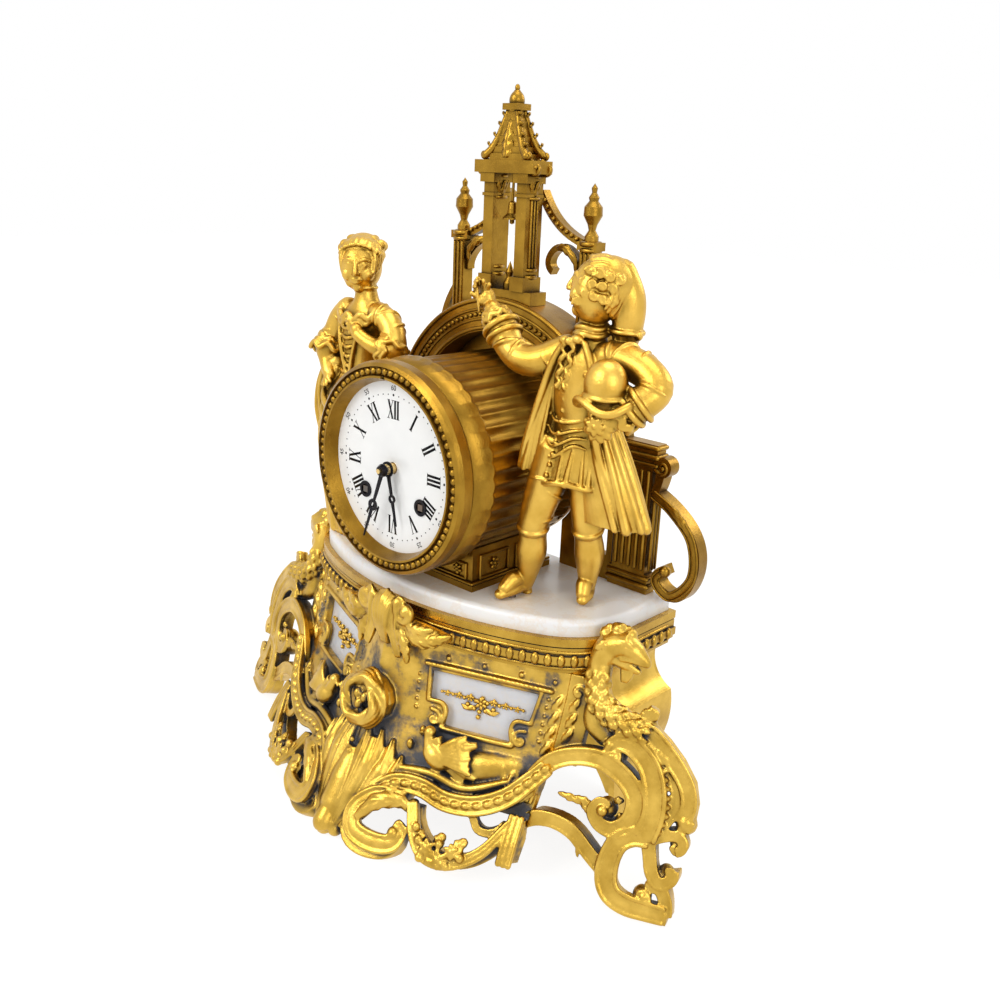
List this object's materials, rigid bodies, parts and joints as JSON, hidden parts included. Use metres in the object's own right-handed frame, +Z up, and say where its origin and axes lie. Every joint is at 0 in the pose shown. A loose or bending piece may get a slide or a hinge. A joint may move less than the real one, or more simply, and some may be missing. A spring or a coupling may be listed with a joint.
{
  "type": "figural mantel clock",
  "caption": "Gilt mantel clock with an alabaster slab, a gentleman and a lady beside a fluted drum, and a bell tower above.",
  "frame": {"origin": "on the ground, under the middle of the clock", "axes": "+X to the viewer's right, -Y to the front, +Z up"},
  "size_m": [0.3244, 0.1405, 0.361],
  "materials": {
    "alabaster": "polished, faintly veined",
    "enamel": "glossy white enamel",
    "blued_steel": "dark blued",
    "bright_gilt": "satin gilding",
    "base_gilt": "worn gilding, grey in the hollows",
    "drum_gilt": "aged gilding",
    "iron": "plain",
    "steel": "polished",
    "movement_brass": "lacquered"
  },
  "bodies": {
    "clock": {"alabaster_slab": "alabaster", "arched_screen": "drum_gilt", "back_cock": "movement_brass", "back_plate": "movement_brass", "base_back": "base_gilt", "base_front": "base_gilt", "base_rim": "base_gilt", "base_side_left": "base_gilt", "base_side_right": "base_gilt", "bell_post": "steel", "bell_tower": "drum_gilt", "bezel_straps": "movement_brass", "cartouche": "base_gilt", "cross_bars": "iron", "dial": "enamel", "drum_case": "drum_gilt", "drum_plinth": "drum_gilt", "end_casting_left": "base_gilt", "end_casting_right": "base_gilt", "front_bezel": "drum_gilt", "front_plate": "movement_brass", "gentleman": "bright_gilt", "hinge_pin": "steel", "lady": "bright_gilt", "panel_sprigs": "base_gilt", "plate_pillars": "movement_brass", "plinth_bolts": "iron", "rear_bezel": "drum_gilt", "scroll_buttress_left": "drum_gilt", "scroll_buttress_right": "drum_gilt", "slab_screws": "iron", "stone_panel_left": "alabaster", "stone_panel_right": "alabaster", "strike_bell": "movement_brass", "tower_bell": "drum_gilt", "tower_spire": "drum_gilt", "urn_finials": "drum_gilt", "winding_collets": "movement_brass"},
    "minute_hand_set": {"minute_hand": "blued_steel", "hand_collet": "movement_brass", "cannon_pinion": "steel"},
    "hour_hand_set": {"hour_hand": "blued_steel", "hour_wheel": "movement_brass"},
    "minute_wheel_set": {"minute_wheel": "movement_brass"},
    "centre_arbor": {"centre_wheel": "movement_brass"},
    "third_arbor": {"third_wheel": "movement_brass"},
    "escape_arbor": {"escape_wheel": "movement_brass"},
    "going_drum": {"going_barrel": "movement_brass"},
    "strike_drum": {"strike_barrel": "movement_brass"},
    "count_disc": {"count_wheel": "movement_brass"},
    "going_winder": {"going_arbor": "steel"},
    "strike_winder": {"strike_arbor": "steel"},
    "regulator": {"regulator_arbor": "steel"},
    "pendulum": {"pendulum_rod": "steel", "pendulum_bob": "movement_brass", "rating_nut": "movement_brass", "pallets": "steel"},
    "hammer": {"strike_hammer": "steel"},
    "door": {"rear_door": "drum_gilt"}
  },
  "joints": [
    {"name": "minute_hand_turn", "type": "hinge", "parent": "clock", "child": "minute_hand_set", "pos_m": [0, 0, 0.183], "axis": [0, 1, 0], "continuous": true},
    {"name": "hour_hand_turn", "type": "hinge", "parent": "clock", "child": "hour_hand_set", "pos_m": [0, 0, 0.183], "axis": [0, 1, 0], "continuous": true},
    {"name": "minute_wheel_turn", "type": "hinge", "parent": "clock", "child": "minute_wheel_set", "pos_m": [0, 0, 0.195], "axis": [0, 1, 0], "continuous": true},
    {"name": "centre_turn", "type": "hinge", "parent": "clock", "child": "centre_arbor", "pos_m": [0, 0, 0.183], "axis": [0, 1, 0], "continuous": true},
    {"name": "third_turn", "type": "hinge", "parent": "clock", "child": "third_arbor", "pos_m": [-0.01054, 0, 0.19556], "axis": [0, 1, 0], "continuous": true},
    {"name": "escape_turn", "type": "hinge", "parent": "clock", "child": "escape_arbor", "pos_m": [0, 0, 0.20416], "axis": [0, 1, 0], "continuous": true},
    {"name": "going_barrel_turn", "type": "hinge", "parent": "clock", "child": "going_drum", "pos_m": [0.02, 0, 0.168], "axis": [0, 1, 0], "continuous": true},
    {"name": "strike_barrel_turn", "type": "hinge", "parent": "clock", "child": "strike_drum", "pos_m": [-0.02, 0, 0.168], "axis": [0, 1, 0], "continuous": true},
    {"name": "count_turn", "type": "hinge", "parent": "clock", "child": "count_disc", "pos_m": [-0.014, 0, 0.153], "axis": [0, 1, 0], "continuous": true},
    {"name": "going_wind", "type": "hinge", "parent": "clock", "child": "going_winder", "pos_m": [0.02, 0, 0.168], "axis": [0, 1, 0], "range_deg": [0, 1800]},
    {"name": "strike_wind", "type": "hinge", "parent": "clock", "child": "strike_winder", "pos_m": [-0.02, 0, 0.168], "axis": [0, 1, 0], "range_deg": [0, 1800]},
    {"name": "regulator_turn", "type": "hinge", "parent": "clock", "child": "regulator", "pos_m": [0, 0, 0.2268], "axis": [0, 1, 0], "range_deg": [-720, 720]},
    {"name": "pendulum_swing", "type": "hinge", "parent": "clock", "child": "pendulum", "pos_m": [0, 0.027, 0.21516], "axis": [0, 1, 0], "range_deg": [-3.5, 3.5]},
    {"name": "hammer_lift", "type": "hinge", "parent": "clock", "child": "hammer", "pos_m": [-0.041, 0.038, 0.182], "axis": [0, 1, 0], "range_deg": [0, 12], "stiffness_Nm_per_rad": 0.01, "springref_deg": -17.19},
    {"name": "door_swing", "type": "hinge", "parent": "clock", "child": "door", "pos_m": [-0.0476, 0.0655, 0.183], "axis": [0, 0, 1], "range_deg": [0, 110]}
  ],
  "couplings": [
    {"joint": "hour_hand_turn", "follows": "minute_hand_turn", "ratio": 0.083333},
    {"joint": "minute_wheel_turn", "follows": "minute_hand_turn", "ratio": -0.33333},
    {"joint": "centre_turn", "follows": "minute_hand_turn", "ratio": 1},
    {"joint": "third_turn", "follows": "minute_hand_turn", "ratio": -7.2},
    {"joint": "escape_turn", "follows": "minute_hand_turn", "ratio": 54},
    {"joint": "going_barrel_turn", "follows": "minute_hand_turn", "ratio": -0.16667},
    {"joint": "strike_barrel_turn", "follows": "minute_hand_turn", "ratio": -0.16667},
    {"joint": "count_turn", "follows": "minute_hand_turn", "ratio": 0.083333}
  ]
}
